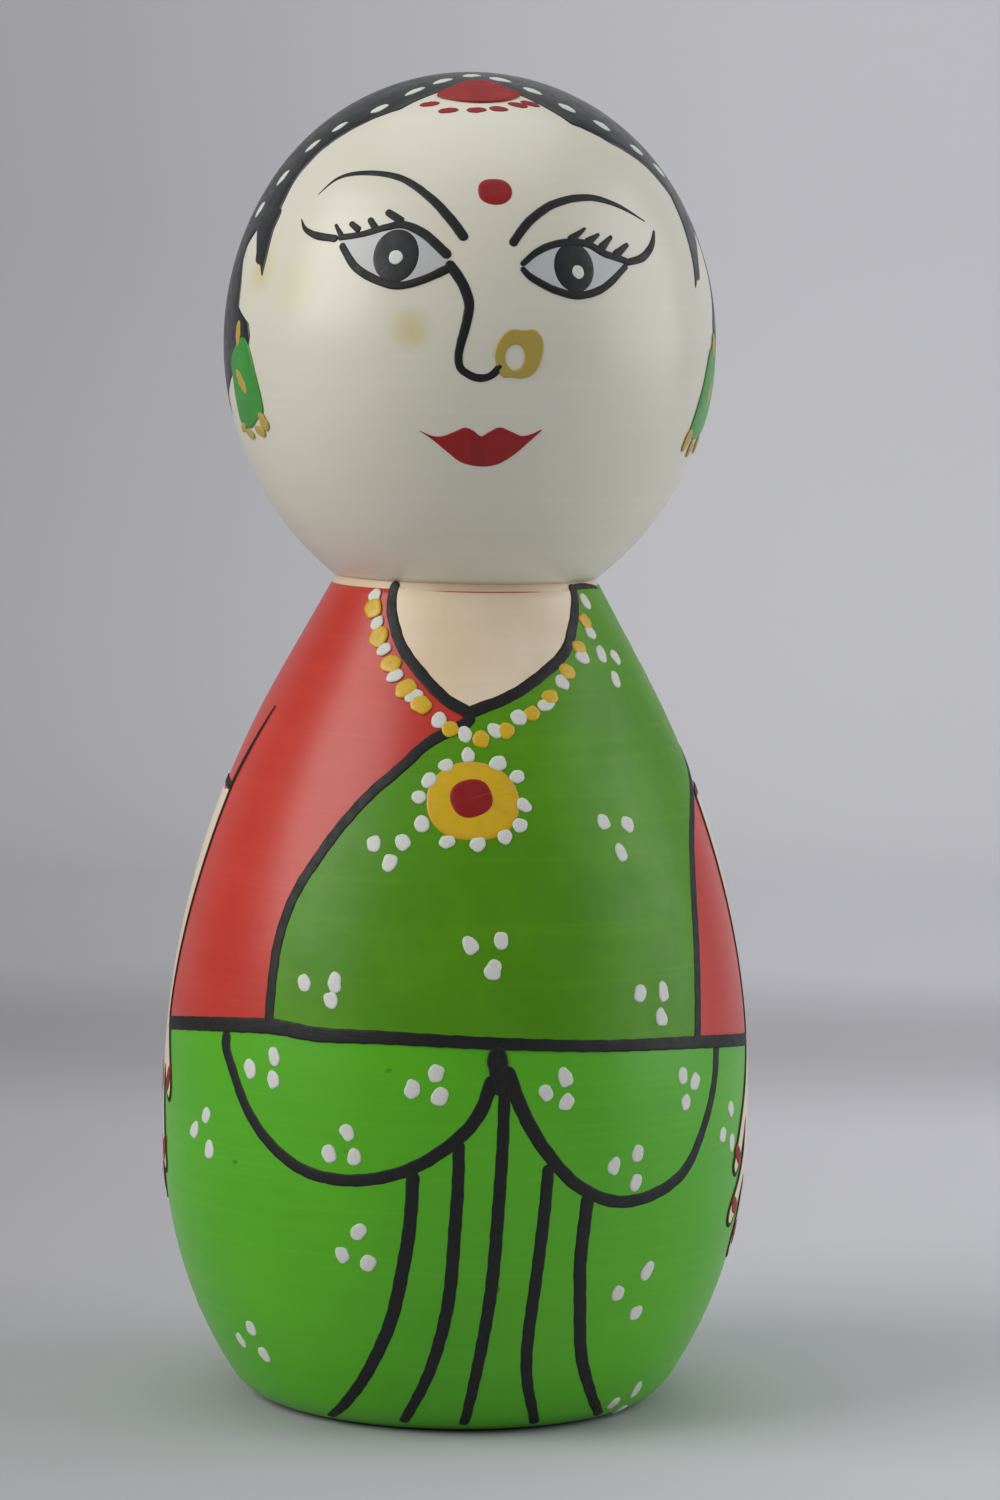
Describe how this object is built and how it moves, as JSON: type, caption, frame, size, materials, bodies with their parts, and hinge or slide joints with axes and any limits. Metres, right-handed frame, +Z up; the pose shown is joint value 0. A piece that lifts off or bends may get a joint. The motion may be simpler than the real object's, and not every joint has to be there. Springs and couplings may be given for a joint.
{
  "type": "painted turned wooden doll",
  "caption": "Turned wooden doll with a ball head on a pear-shaped body, lacquered and hand-painted as a woman in a sari; stands on its flat foot.",
  "frame": {"origin": "centre of the flat foot, on the surface the doll stands on", "axes": "+Z up through the crown, -Y towards the viewer the face looks at, +X to that viewer's right"},
  "size_m": [0.0668, 0.0667, 0.15],
  "materials": {
    "turned_wood": "bare close-grained turned softwood, fine turning rings",
    "dowel_wood": "bare straight-grained dowel, dry with a glue film",
    "ivory_lacquer": "satin ivory lacquer with faint turning rings and small yellow stains",
    "cream_lacquer": "satin cream lacquer",
    "red_lacquer": "satin orange-red lacquer with faint turning rings and pits",
    "green_lacquer": "satin bright green lacquer with faint turning rings and pits",
    "black_paint": "grainy matt black brush paint",
    "white_paint": "thick off-white brush paint in domed dots",
    "red_paint": "crimson brush paint",
    "yellow_paint": "thick yellow brush paint",
    "gold_paint": "thin metallic ochre-gold brush paint",
    "green_paint": "blue-green brush paint",
    "grey_paint": "thin charcoal brush paint",
    "skin_paint": "satin peach brush paint",
    "drape_paint": "olive-green paint brushed over red lacquer"
  },
  "bodies": {
    "root": {"body": "turned_wood", "head": "turned_wood", "neck_dowel": "dowel_wood", "face_lacquer": "ivory_lacquer", "neck_band": "cream_lacquer", "blouse_lacquer": "red_lacquer", "skirt_lacquer": "green_lacquer", "hem_line": "black_paint", "hair": "black_paint", "hairline_dots": "white_paint", "tikka": "red_paint", "tikka_drops": "red_paint", "bindi": "red_paint", "eyebrows": "black_paint", "eye_whites": "white_paint", "eye_irises": "grey_paint", "eye_glints": "white_paint", "eye_lines": "black_paint", "nose_line": "black_paint", "nose_ring": "gold_paint", "lips": "red_paint", "earrings": "green_paint", "earring_gold": "gold_paint", "neck_skin": "skin_paint", "sari_drape": "drape_paint", "pallu": "drape_paint", "left_arm": "skin_paint", "right_arm": "skin_paint", "henna": "red_paint", "neckline": "black_paint", "drape_edges": "black_paint", "waist_line": "black_paint", "skirt_scallops": "black_paint", "skirt_pleats": "black_paint", "arm_lines": "black_paint", "necklace_yellow": "yellow_paint", "necklace_white": "white_paint", "pendant": "yellow_paint", "pendant_centre": "red_paint", "pendant_dots": "white_paint", "drape_dots": "white_paint", "skirt_dots": "white_paint"}
  },
  "joints": []
}
